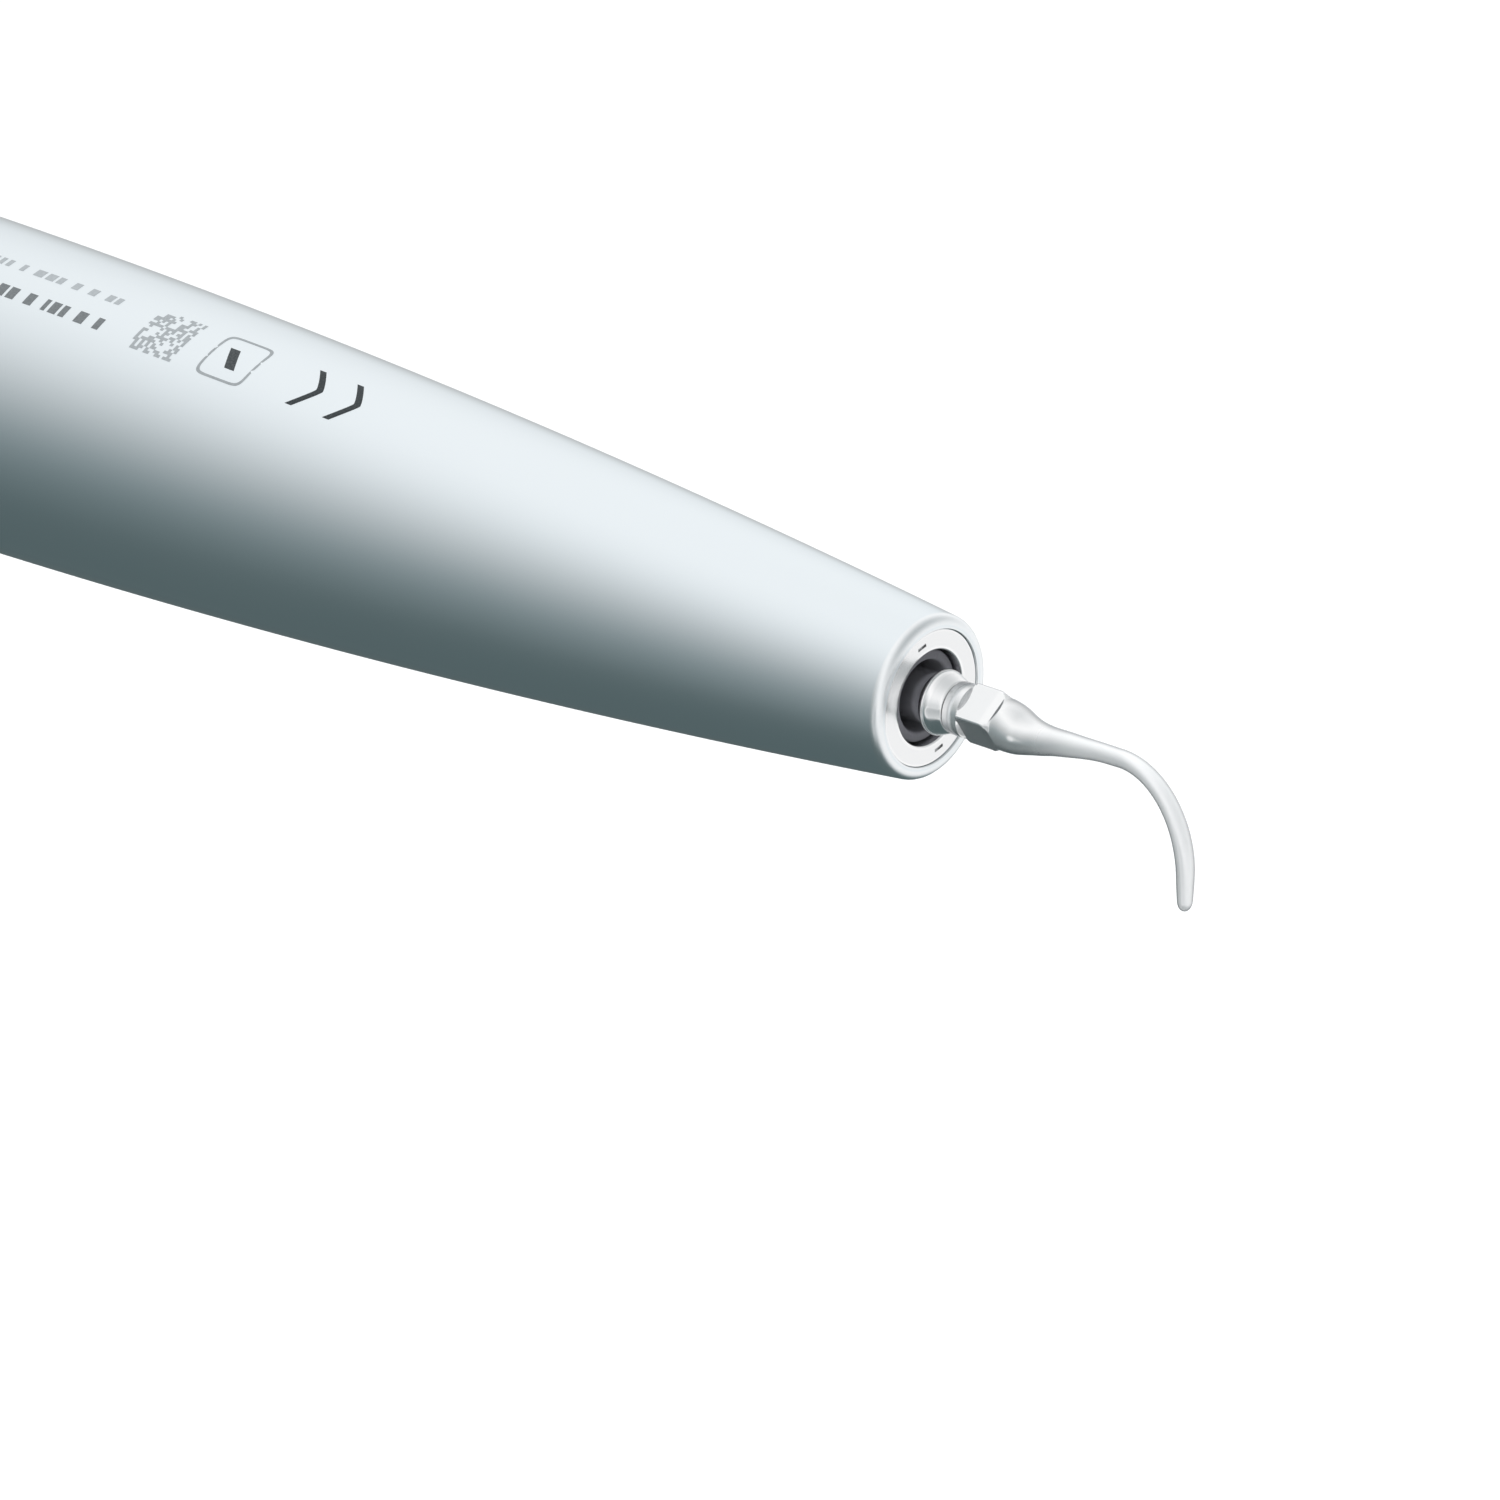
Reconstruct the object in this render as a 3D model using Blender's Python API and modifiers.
"""Air-driven dental scaler handpiece with a hooked scaling tip, as an assembly of separate pieces.

The handpiece lies along +X: x = 0 is the rear face of the hose connector, and the tip hooks down to -Z.
Lengths in the tables are millimetres; MM turns them into Blender's metres.
"""

import math

import bmesh
import bpy
from mathutils import Matrix, Quaternion, Vector

MM = 0.001

# Driving dimensions, in millimetres.
NOSE_X = 128.0
NOSE_RADIUS = 4.5
GRIP_RADIUS = 9.1
GRIP_LENGTH = 80.0
GRIP_POWER = 1.95
NOSE_ROUND = 0.45
SLEEVE_REAR_X = 35.2
NOSE_BORE = 3.79
DAMPER_X = 74.0
FRONT_DAMPER_X = 104.0
PORT_RADIUS = 3.2
RING_SWEEP = 30.0
PIN_X = 28.7
DETENT_RADIUS = 6.6
BALL_X = 21.72
FINE_STEPS = 48
PLAIN_STEPS = 32

# Tip: where its blade starts to bend and how high, the half axes of that bend, the straight end, and the block.
TIP_BEND_X = NOSE_X + 12.8
TIP_RISE = 0.2
TIP_BEND = (4.33, 5.45)
TIP_DROP = 1.95
BLOCK_X = (NOSE_X + 2.8, NOSE_X + 4.9)
BLOCK_FLATS = 2.35
BLOCK_TURN = 34.0

# Colour, roughness and metallic value of each finish.
FINISHES = {
    "satin_titanium": ((0.62, 0.65, 0.66), 0.32, 1.0),
    "polished_steel": ((0.80, 0.80, 0.80), 0.15, 1.0),
    "machined_steel": ((0.55, 0.56, 0.57), 0.35, 1.0),
    "dark_rubber": ((0.05, 0.05, 0.055), 0.60, 0.0),
    "bronze": ((0.55, 0.38, 0.20), 0.55, 1.0),
    "grey_polymer": ((0.30, 0.31, 0.33), 0.45, 0.0),
}


def clear_scene():
    for obj in list(bpy.data.objects):
        bpy.data.objects.remove(obj)


def collection(name):
    made = bpy.data.collections.new(name)
    bpy.context.scene.collection.children.link(made)
    return made


def finish(name):
    """The material of that name, made once."""
    if name in bpy.data.materials:
        return bpy.data.materials[name]
    colour, roughness, metallic = FINISHES[name]
    made = bpy.data.materials.new(name)
    made.use_nodes = True
    shader = made.node_tree.nodes["Principled BSDF"]
    shader.inputs["Base Color"].default_value = (*colour, 1.0)
    shader.inputs["Roughness"].default_value = roughness
    shader.inputs["Metallic"].default_value = metallic
    made.diffuse_color = (*colour, 1.0)
    return made


def keep(obj, name, look):
    """Names an object, gives it its finish and files it with the parts."""
    obj.name = name
    for holder in list(obj.users_collection):
        holder.objects.unlink(obj)
    PARTS.objects.link(obj)
    obj.data.materials.clear()
    obj.data.materials.append(finish(look))
    return obj


def as_cutter(obj, name):
    obj.name = name
    for holder in list(obj.users_collection):
        holder.objects.unlink(obj)
    CUTTERS.objects.link(obj)
    obj.hide_render = True
    obj.display_type = "WIRE"
    return obj


def cut(obj, *cutters):
    for cutter in cutters:
        modifier = obj.modifiers.new("cut " + cutter.name, "BOOLEAN")
        modifier.operation = "DIFFERENCE"
        modifier.object = cutter
    return obj


def turned(name, outline, look, steps=PLAIN_STEPS):
    """A turned piece. The outline is (x, radius) points; ends on the axis leave it open, else it closes."""
    area = sum(
        r0 * x1 - r1 * x0 for (x0, r0), (x1, r1) in zip(outline, outline[1:] + outline[:1])
    )
    points = outline if area < 0 else outline[::-1]
    closed = points[0][1] > 0
    edges = [(i, i + 1) for i in range(len(points) - 1)]
    if closed:
        edges.append((len(points) - 1, 0))
    mesh = bpy.data.meshes.new(name)
    mesh.from_pydata([(r * MM, 0, x * MM) for x, r in points], edges, [])
    obj = bpy.data.objects.new(name, mesh)
    obj.rotation_euler = (0, math.pi / 2, 0)
    screw = obj.modifiers.new("turn", "SCREW")
    screw.axis = "Z"
    screw.steps = screw.render_steps = steps
    screw.use_merge_vertices = True
    screw.merge_threshold = 0.00001
    screw.use_smooth_shade = False
    return keep(obj, name, look)


def around(angle, radius):
    """(y, z) at that radius, with the angle in degrees from +Y towards +Z."""
    a = math.radians(angle)
    return radius * math.cos(a), radius * math.sin(a)


def axial_cylinder(name, x0, x1, radius, angle=0.0, offset=0.0, sides=16, turn=0.0):
    """A cutter along X, off the axis by the offset at that angle, and turned about its own axis."""
    y, z = around(angle, offset)
    bpy.ops.mesh.primitive_cylinder_add(
        vertices=sides,
        radius=radius * MM,
        depth=(x1 - x0) * MM,
        location=((x0 + x1) / 2 * MM, y * MM, z * MM),
    )
    obj = bpy.context.object
    obj.rotation_mode = "ZYX"
    obj.rotation_euler = (math.radians(turn), math.pi / 2, 0)
    return as_cutter(obj, name)


def radial_cylinder(x, radius, inner, outer, angle, sides=16):
    """A cylinder that points away from the axis, from the inner to the outer distance."""
    y, z = around(angle, (inner + outer) / 2)
    direction = Vector((0.0, *around(angle, 1.0)))
    bpy.ops.mesh.primitive_cylinder_add(
        vertices=sides,
        radius=radius * MM,
        depth=(outer - inner) * MM,
        location=(x * MM, y * MM, z * MM),
    )
    obj = bpy.context.object
    obj.rotation_mode = "QUATERNION"
    half_side = Quaternion((0, 0, 1), math.pi / sides)
    obj.rotation_quaternion = direction.to_track_quat("Z", "Y") @ half_side
    return obj


def box_cutter(name, centre, size, angle=0.0):
    """A box cutter with its size along X, Y and Z, turned about the X axis by the angle."""
    bpy.ops.mesh.primitive_cube_add(size=1.0, location=[c * MM for c in centre])
    obj = bpy.context.object
    for vertex in obj.data.vertices:
        vertex.co = [c * s * MM for c, s in zip(vertex.co, size)]
    obj.rotation_euler = (math.radians(angle), 0, 0)
    return as_cutter(obj, name)


def as_mesh(curve_obj):
    """The curve made a mesh object with welded caps; the curve is removed."""
    bpy.context.view_layer.update()
    graph = bpy.context.evaluated_depsgraph_get()
    mesh = bpy.data.meshes.new_from_object(curve_obj.evaluated_get(graph))
    work = bmesh.new()
    work.from_mesh(mesh)
    bmesh.ops.remove_doubles(work, verts=work.verts, dist=0.000002)
    work.to_mesh(mesh)
    work.free()
    obj = bpy.data.objects.new(curve_obj.name + "_mesh", mesh)
    bpy.context.scene.collection.objects.link(obj)
    obj.matrix_world = curve_obj.matrix_world.copy()
    bpy.data.objects.remove(curve_obj)
    return obj


def arc_slot_cutter(name, x0, x1, inner, outer, middle, half_sweep):
    """A slot along an arc about the X axis: a flat outline of two arcs, extruded along X."""
    steps = 13
    sweep = [middle - half_sweep + 2 * half_sweep * i / steps for i in range(steps + 1)]
    rim = [around(a, outer) for a in sweep] + [around(a, inner) for a in reversed(sweep)]
    curve = bpy.data.curves.new(name, "CURVE")
    curve.dimensions = "2D"
    curve.fill_mode = "BOTH"
    curve.extrude = (x1 - x0) / 2 * MM
    spline = curve.splines.new("POLY")
    spline.points.add(len(rim) - 1)
    for point, (y, z) in zip(spline.points, rim):
        point.co = (-z * MM, y * MM, 0, 1)
    spline.use_cyclic_u = True
    obj = bpy.data.objects.new(name, curve)
    bpy.context.scene.collection.objects.link(obj)
    obj.location = ((x0 + x1) / 2 * MM, 0, 0)
    obj.rotation_euler = (0, math.pi / 2, 0)
    cutter = as_mesh(obj)
    work = bmesh.new()
    work.from_mesh(cutter.data)
    bmesh.ops.recalc_face_normals(work, faces=work.faces)
    work.to_mesh(cutter.data)
    work.free()
    return as_cutter(cutter, name)


def ring_seal(name, x, major, minor, look="dark_rubber"):
    """A rubber O-ring around the X axis."""
    bpy.ops.mesh.primitive_torus_add(
        major_radius=major * MM,
        minor_radius=minor * MM,
        major_segments=36,
        minor_segments=8,
        location=(x * MM, 0, 0),
        rotation=(0, math.pi / 2, 0),
    )
    return keep(bpy.context.object, name, look)


def swept(name, points, radii, sides_resolution=2, capped=True):
    """A tube along points in millimetres, with its own radius at each point, as a mesh."""
    curve = bpy.data.curves.new(name, "CURVE")
    curve.dimensions = "3D"
    curve.bevel_depth = MM
    curve.bevel_resolution = sides_resolution
    curve.use_fill_caps = capped
    spline = curve.splines.new("POLY")
    spline.points.add(len(points) - 1)
    for point, at, radius in zip(spline.points, points, radii):
        point.co = (*[c * MM for c in at], 1)
        point.radius = radius
    obj = bpy.data.objects.new(name, curve)
    bpy.context.scene.collection.objects.link(obj)
    return as_mesh(obj)


# Handle -----------------------------------------------------------------------------------------


def grip_radius(x):
    """The sleeve's outer radius: it swells from the nose along a power curve to the full grip."""
    back = max(0.0, 1.0 - (NOSE_X - x) / GRIP_LENGTH)
    return GRIP_RADIUS - (GRIP_RADIUS - NOSE_RADIUS) * back**GRIP_POWER


def handle_sleeve():
    round_centre = NOSE_X - NOSE_ROUND
    outline = [(NOSE_X, NOSE_BORE)]
    for angle in (0, 30, 60, 90):
        a = math.radians(angle)
        x = round_centre + NOSE_ROUND * math.cos(a)
        outline.append((x, NOSE_RADIUS - NOSE_ROUND + NOSE_ROUND * math.sin(a)))
    outline += [(NOSE_X - u, grip_radius(NOSE_X - u)) for u in (2, 5, 10, 15, 20, 27, 34, 42, 50, 60, 70)]
    outline += [(48, GRIP_RADIUS), (44, GRIP_RADIUS), (39, 8.97), (35.6, 8.72), (SLEEVE_REAR_X, 8.4)]
    outline += [(SLEEVE_REAR_X, 7.8), (51.0, 7.8), (51.5, 7.4), (68, 7.4), (78, 7.2), (88, 6.8)]
    outline += [(98, 6.2), (108, 5.5), (112.6, 5.3), (112.6, 4.5), (116.6, 4.5), (117.4, NOSE_BORE)]
    return turned("handle_sleeve", outline, "satin_titanium", FINE_STEPS)


def nose_pieces():
    """The retaining ring that closes the nose, the rubber lip seal in it and the bush behind it."""
    ring = turned(
        "nose_ring",
        [(124.8, 3.69), (127.75, 3.69), (127.9, 3.55), (127.9, 2.75), (127.8, 2.65), (126.5, 2.65)]
        + [(126.5, 3.2), (124.8, 3.2)],
        "polished_steel",
        FINE_STEPS,
    )
    for number, angle in enumerate((103.0, 283.0)):
        y, z = around(angle, 3.18)
        slot = box_cutter(f"spanner_slot_{number}", (128.0, y, z), (1.0, 0.25, 0.65), angle)
        cut(ring, slot)
    turned(
        "nose_seal",
        [(124.9, 3.1), (126.4, 3.1), (126.4, 2.55), (127.35, 2.55), (127.5, 2.4), (127.5, 2.1)]
        + [(127.3, 1.95), (124.9, 1.95)],
        "dark_rubber",
        FINE_STEPS,
    )
    turned(
        "nose_bush",
        [(113.0, 4.35), (116.4, 4.35), (117.3, 3.69), (124.6, 3.69), (124.6, 2.4), (113.0, 2.4)],
        "machined_steel",
    )


# Drive cartridge --------------------------------------------------------------------------------


def exhaust_slots(x0, x1):
    """Two crossed boxes that open four exhaust slots in the tubes around the rotor."""
    middle, length = (x0 + x1) / 2, x1 - x0
    return [
        box_cutter(f"exhaust_slot_{angle:.0f}", (middle, 0, 0), (length, 14, 2.6), angle)
        for angle in (45.0, 135.0)
    ]


def drive_cartridge():
    """The tube that carries the two rubber dampers, with the plugs and the spacer that locate them."""
    slots = exhaust_slots(86.5, 97.5)
    chassis = turned(
        "chassis_tube",
        [(55.8, 7.3), (58.2, 7.3), (58.2, 5.2), (108.0, 5.2), (108.0, 4.3), (55.8, 4.3)],
        "machined_steel",
    )
    flange_holes = [
        axial_cylinder(f"flange_hole_{angle}", 55, 59, 0.75, angle, 6.25, 12)
        for angle in range(0, 360, 60)
    ]
    cut(chassis, *slots, *flange_holes)
    spacer = turned(
        "spacer_sleeve", [(75.2, 4.2), (102.8, 4.2), (102.8, 3.85), (75.2, 3.85)], "machined_steel"
    )
    cut(spacer, *slots)
    turned(
        "rear_plug",
        [(62.0, 4.2), (72.8, 4.2), (72.8, 3.25), (69.0, 3.25), (69.0, 2.0), (62.0, 2.0)],
        "machined_steel",
    )
    turned(
        "front_plug",
        [(105.3, 4.2), (108.3, 4.2), (108.3, 5.1), (112.4, 5.1), (112.4, 2.8), (105.3, 2.8)],
        "machined_steel",
    )
    ring_seal("rear_damper", DAMPER_X, 3.3, 0.8)
    ring_seal("front_damper", FRONT_DAMPER_X, 3.3, 0.8)


def vibrating_shaft():
    """The hollow shaft that shakes the tip, with its rotor stops and its air seal."""
    shaft = turned(
        "vibration_shaft",
        [(69.6, 2.3), (111.0, 2.3), (113.2, 1.45), (128.3, 1.45), (128.6, 1.8), (128.95, 1.8)]
        + [(129.75, 1.42), (129.75, 1.1), (121.0, 1.1), (120.4, 0.9), (73.0, 0.9), (72.0, 1.5)]
        + [(69.6, 1.5)],
        "polished_steel",
    )
    nozzles = []
    for number, angle in enumerate((30.0, 150.0, 270.0)):
        nozzle = radial_cylinder(92.0, 0.35, 0.3, 3.0, angle, 8)
        nozzles.append(as_cutter(nozzle, f"nozzle_{number}"))
    cut(shaft, *nozzles)
    for name, x in (("rotor_stop_rear", 85.2), ("rotor_stop_front", 96.2)):
        turned(name, [(x, 3.3), (x + 2.6, 3.3), (x + 2.6, 2.4), (x, 2.4)], "machined_steel")
    ring_seal("shaft_air_seal", 70.8, 2.78, 0.38)


def rotor_ring():
    """The loose ring that air from the shaft's nozzles spins, which shakes the shaft."""
    outline = [(88.2, 3.3), (88.5, 3.5), (95.5, 3.5), (95.8, 3.3), (95.8, 2.6), (88.2, 2.6)]
    turned("rotor_ring", outline, "bronze")


# Tip --------------------------------------------------------------------------------------------


def tip_path():
    """Points and radii of the blade: a taper that sags and rises, a quarter ellipse, a short straight end."""
    reach, depth = TIP_BEND
    taper = ((4.6, -0.03, 1.15), (4.95, -0.05, 1.30), (5.5, -0.10, 1.30), (6.0, -0.17, 1.22))
    taper += ((6.5, -0.22, 1.08), (7.1, -0.24, 0.95), (7.6, -0.22, 0.86), (8.2, -0.16, 0.77))
    taper += ((9.3, 0.0, 0.68), (10.4, 0.10, 0.58), (11.5, 0.17, 0.52), (12.2, 0.19, 0.50))
    points = [(NOSE_X + ahead, 0.0, height) for ahead, height, _ in taper]
    for step in range(13):
        a = math.radians(90 * step / 12)
        points.append((TIP_BEND_X + reach * math.sin(a), 0.0, TIP_RISE - depth * (1 - math.cos(a))))
    last = points[-1]
    points += [(last[0], 0.0, last[2] - drop) for drop in (0.9, 1.6, TIP_DROP)]
    radii = [radius for _, _, radius in taper]
    radii += [0.50, 0.50, 0.50, 0.51, 0.52, 0.52, 0.52, 0.52, 0.52, 0.52, 0.51, 0.50, 0.49]
    radii += [0.46, 0.38, 0.20]
    return points, radii


def scaler_tip():
    """Threaded shank, round shoulder and square wrench block in one piece with the curved blade."""
    shoulder, front = BLOCK_X[0] + 0.3, BLOCK_X[1]
    tip = turned(
        "scaler_tip",
        [(122.0, 0.0), (122.0, 0.8), (122.3, 1.0), (129.8, 1.0), (129.8, 1.4), (shoulder, 1.4)]
        + [(shoulder, 0.0)],
        "polished_steel",
    )
    corner = BLOCK_FLATS / math.sqrt(2)
    block = axial_cylinder("wrench_block", BLOCK_X[0], front, corner, sides=4, turn=BLOCK_TURN + 45)
    blade = as_cutter(swept("tip_blade", *tip_path(), sides_resolution=3), "tip_blade")
    for piece in (block, blade):
        union = tip.modifiers.new("join " + piece.name, "BOOLEAN")
        union.operation = "UNION"
        union.object = piece


# Air, water and exhaust -------------------------------------------------------------------------


def helix(x0, x1, radius, turns, centre_z):
    """Points of a coil along X, around a line at height centre_z."""
    count = turns * 9
    return [
        (
            x0 + (x1 - x0) * i / count,
            radius * math.cos(2 * math.pi * turns * i / count),
            centre_z + radius * math.sin(2 * math.pi * turns * i / count),
        )
        for i in range(count + 1)
    ]


def water_tube():
    """Fine tube from the water port, bent to the axis, and on through the shaft to the tip."""
    port = 3.2
    points = [(11.0, port, 0.0), (13.5, port, 0.0)]
    for step in range(1, 9):
        share = step / 8
        points.append((13.5 + 9.0 * share, port * (1 + math.cos(math.pi * share)) / 2, 0.0))
    points += [(26.0, 0.0, 0.0), (70.0, 0.0, 0.0), (120.0, 0.0, 0.0)]
    tube = swept("water_tube", points, [0.5] * len(points), 1, capped=False)
    wall = tube.modifiers.new("wall", "SOLIDIFY")
    wall.thickness = 0.2 * MM
    wall.offset = -1.0
    keep(tube, "water_tube", "machined_steel")


def air_and_exhaust():
    turned("air_tube", [(36.2, 1.9), (68.0, 1.9), (68.0, 1.3), (36.2, 1.3)], "machined_steel")
    exhaust = turned("exhaust_tube", [(11, 0.85), (45, 0.85), (45, 0.6), (11, 0.6)], "machined_steel", 16)
    exhaust.location = (0, 0, -PORT_RADIUS * MM)
    turned("exhaust_filter", [(51.9, 7.2), (55.5, 7.2), (55.5, 2.1), (51.9, 2.1)], "bronze")


def valve_stack():
    """Housing behind the sleeve, the turning valve disc, its seat and the bulkhead with its nut."""
    housing = turned(
        "valve_housing",
        [(23.9, 7.1), (25.4, 7.1), (25.4, 6.4), (26.6, 6.4), (26.6, 7.1), (32.4, 7.1), (32.4, 6.4)]
        + [(33.6, 6.4), (33.6, 7.1), (35.5, 7.1), (35.5, 7.7), (50.0, 7.7), (50.0, 6.3), (41.2, 6.3)]
        + [(41.2, 5.5), (23.9, 5.5)],
        "machined_steel",
        FINE_STEPS,
    )
    cut(housing, arc_slot_cutter("pin_slot", PIN_X - 0.8, PIN_X + 0.8, 5.0, 7.8, 180, RING_SWEEP + 8))
    disc = turned("valve_disc", [(26.6, 5.35), (30.6, 5.35), (30.6, 0.75), (26.6, 0.75)], "grey_polymer")
    for number, orifice in enumerate((0.45, 0.65, 0.85)):
        angle = 90 + (number - 1) * RING_SWEEP
        cut(disc, axial_cylinder(f"orifice_{number}", 26, 31, orifice, angle, PORT_RADIUS, 12))
    cut(disc, arc_slot_cutter("exhaust_clearance", 26, 31, 2.1, 4.4, -90, RING_SWEEP + 23))
    cut(disc, as_cutter(radial_cylinder(PIN_X, 0.7, 4.4, 6.0, 180), "disc_pin_hole"))
    seat = turned("valve_seat", [(31.0, 5.4), (34.0, 5.4), (34.0, 0.75), (31.0, 0.75)], "grey_polymer")
    cut(
        seat,
        axial_cylinder("seat_air_hole", 30, 35, 0.9, 90, PORT_RADIUS, 12),
        axial_cylinder("seat_exhaust_hole", 30, 35, 0.95, -90, PORT_RADIUS),
    )
    bulkhead = turned("bulkhead", [(36, 5.4), (41, 5.4), (41, 2.0), (36, 2.0)], "machined_steel")
    cut(bulkhead, axial_cylinder("bulkhead_exhaust_hole", 35, 42, 0.95, -90, PORT_RADIUS))
    turned("bulkhead_nut", [(41.4, 6.2), (44.6, 6.2), (44.6, 4.7), (41.4, 4.7)], "machined_steel")


# Power ring and rear end ------------------------------------------------------------------------


def power_ring():
    """Ring that the fingers turn to pick one of three powers, and the pin that turns the disc."""
    ring = turned(
        "power_ring",
        [(22.0, 8.1), (22.4, 8.5), (23.4, 8.6), (33.8, 8.6), (34.5, 8.5), (34.9, 8.1), (34.9, 7.2)]
        + [(23.6, 7.2), (23.6, 5.5), (22.0, 5.5)],
        "satin_titanium",
        FINE_STEPS,
    )
    scallops = [
        axial_cylinder(f"grip_scallop_{number}", 24.6, 32.4, 1.5, 30 * number + 15, 9.75, 12)
        for number in range(12)
    ]
    dimples = [
        axial_cylinder(f"detent_dimple_{angle:.0f}", 21.5, 22.5, 0.4, angle, DETENT_RADIUS)
        for angle in (90 - RING_SWEEP, 90, 90 + RING_SWEEP)
    ]
    cut(
        ring,
        *scallops,
        arc_slot_cutter("detent_groove", 21.5, 22.3, 5.95, 7.25, 90, RING_SWEEP + 8),
        *dimples,
        as_cutter(radial_cylinder(PIN_X, 0.7, 6.5, 7.95, 180), "ring_pin_hole"),
    )
    keep(radial_cylinder(PIN_X, 0.6, 4.6, 7.85, 180, 12), "drive_pin", "machined_steel")
    ring_seal("ring_seal_rear", 26.0, 6.8, 0.32)
    ring_seal("ring_seal_front", 33.0, 6.8, 0.32)


def thread_outline(x0, x1, pitch, root, crest):
    """(x, radius) points of plain ridges that stand for a thread."""
    points, x = [], x0
    while x + pitch <= x1 + 1e-6:
        points += [(x, root), (x + pitch / 2, crest)]
        x += pitch
    return points + [(x1, root)]


def hose_stub():
    """Threaded hose connector with four ports, and the hollow spigot that carries the valve stack."""
    outline = [(0.0, 0.0), (0.0, 5.0)] + thread_outline(0.4, 8.5, 0.9, 5.15, 5.6)
    outline += [(9.3, 5.15), (9.3, 6.3), (11.2, 6.3), (11.2, 5.2), (24.3, 5.2), (24.3, 4.7)]
    outline += [(25.3, 4.7), (25.3, 5.2), (26.2, 5.2), (26.2, 4.2), (14.0, 4.2), (14.0, 0.0)]
    stub = turned("hose_stub", outline, "polished_steel")
    ports = (
        ("exhaust_port", 1.3, -90, PORT_RADIUS, 15),
        ("drive_air_port", 1.05, 90, PORT_RADIUS, 15),
        ("water_port", 0.7, 0, 3.2, 15),
        ("chip_air_port", 0.7, 180, 3.2, 8),
    )
    cut(stub, *[axial_cylinder(name, -1, end, r, angle, off) for name, r, angle, off, end in ports])
    ring_seal("spigot_seal", 24.8, 5.08, 0.3)


def rear_collar():
    """Fixed collar behind the power ring, with its locking screw and the detent's spring."""
    collar = turned(
        "rear_collar",
        [(9.2, 7.1), (9.6, 7.5), (20.9, 8.4), (21.4, 8.4), (21.7, 8.1), (21.7, 5.35), (11.5, 5.35)]
        + [(11.5, 6.4), (9.2, 6.4)],
        "satin_titanium",
        FINE_STEPS,
    )
    cut(
        collar,
        axial_cylinder("detent_hole", 14.6, 22.5, 0.7, 90, DETENT_RADIUS),
        as_cutter(radial_cylinder(16.0, 0.9, 4.5, 9.0, -90), "grub_hole"),
    )
    screw = keep(radial_cylinder(16.0, 0.8, 5.45, 7.8, -90), "collar_grub_screw", "polished_steel")
    cut(screw, as_cutter(radial_cylinder(16.0, 0.4, 7.0, 9.0, -90, 6), "grub_socket"))
    spring = swept("detent_spring", helix(15.2, 20.8, 0.42, 7, DETENT_RADIUS), [0.1] * 64, 1)
    keep(spring, "detent_spring", "machined_steel")
    bpy.ops.mesh.primitive_uv_sphere_add(
        segments=16, ring_count=8, radius=0.5 * MM, location=(BALL_X * MM, 0, DETENT_RADIUS * MM)
    )
    keep(bpy.context.object, "detent_ball", "polished_steel")


# Joints -----------------------------------------------------------------------------------------


def joint_axis(name, at, parent, nodes):
    """An empty on a joint's axis, with the pieces that move with it as its children."""
    empty = bpy.data.objects.new(name, None)
    PARTS.objects.link(empty)
    empty.location = [c * MM for c in at]
    bpy.context.view_layer.update()
    if parent:
        empty.parent = parent
        empty.matrix_parent_inverse = parent.matrix_world.inverted()
    bpy.context.view_layer.update()
    for node in nodes:
        piece = bpy.data.objects[node]
        piece.parent = empty
        piece.matrix_parent_inverse = Matrix.Translation(empty.location).inverted()
    return empty


def joints():
    joint_axis("power_ring_axis", (28.5, 0, 0), None, ["power_ring", "valve_disc", "drive_pin"])
    joint_axis("ball_axis", (BALL_X, 0, DETENT_RADIUS), None, ["detent_ball"])
    pitch = joint_axis("damper_pivot", (DAMPER_X, 0, 0), None, ["rear_damper"])
    shaft = ["vibration_shaft", "rotor_stop_rear", "rotor_stop_front", "shaft_air_seal"]
    yaw = joint_axis("shaft_pivot", (DAMPER_X, 0, 0), pitch, shaft)
    joint_axis("rotor_axis", (92.0, 0, 0), yaw, ["rotor_ring"])
    joint_axis("tip_axis", (NOSE_X, 0, 0), yaw, ["scaler_tip"])


clear_scene()
PARTS = collection("air_scaler_handpiece")
CUTTERS = collection("cutters")
handle_sleeve()
nose_pieces()
drive_cartridge()
vibrating_shaft()
rotor_ring()
scaler_tip()
water_tube()
air_and_exhaust()
valve_stack()
power_ring()
hose_stub()
rear_collar()
joints()
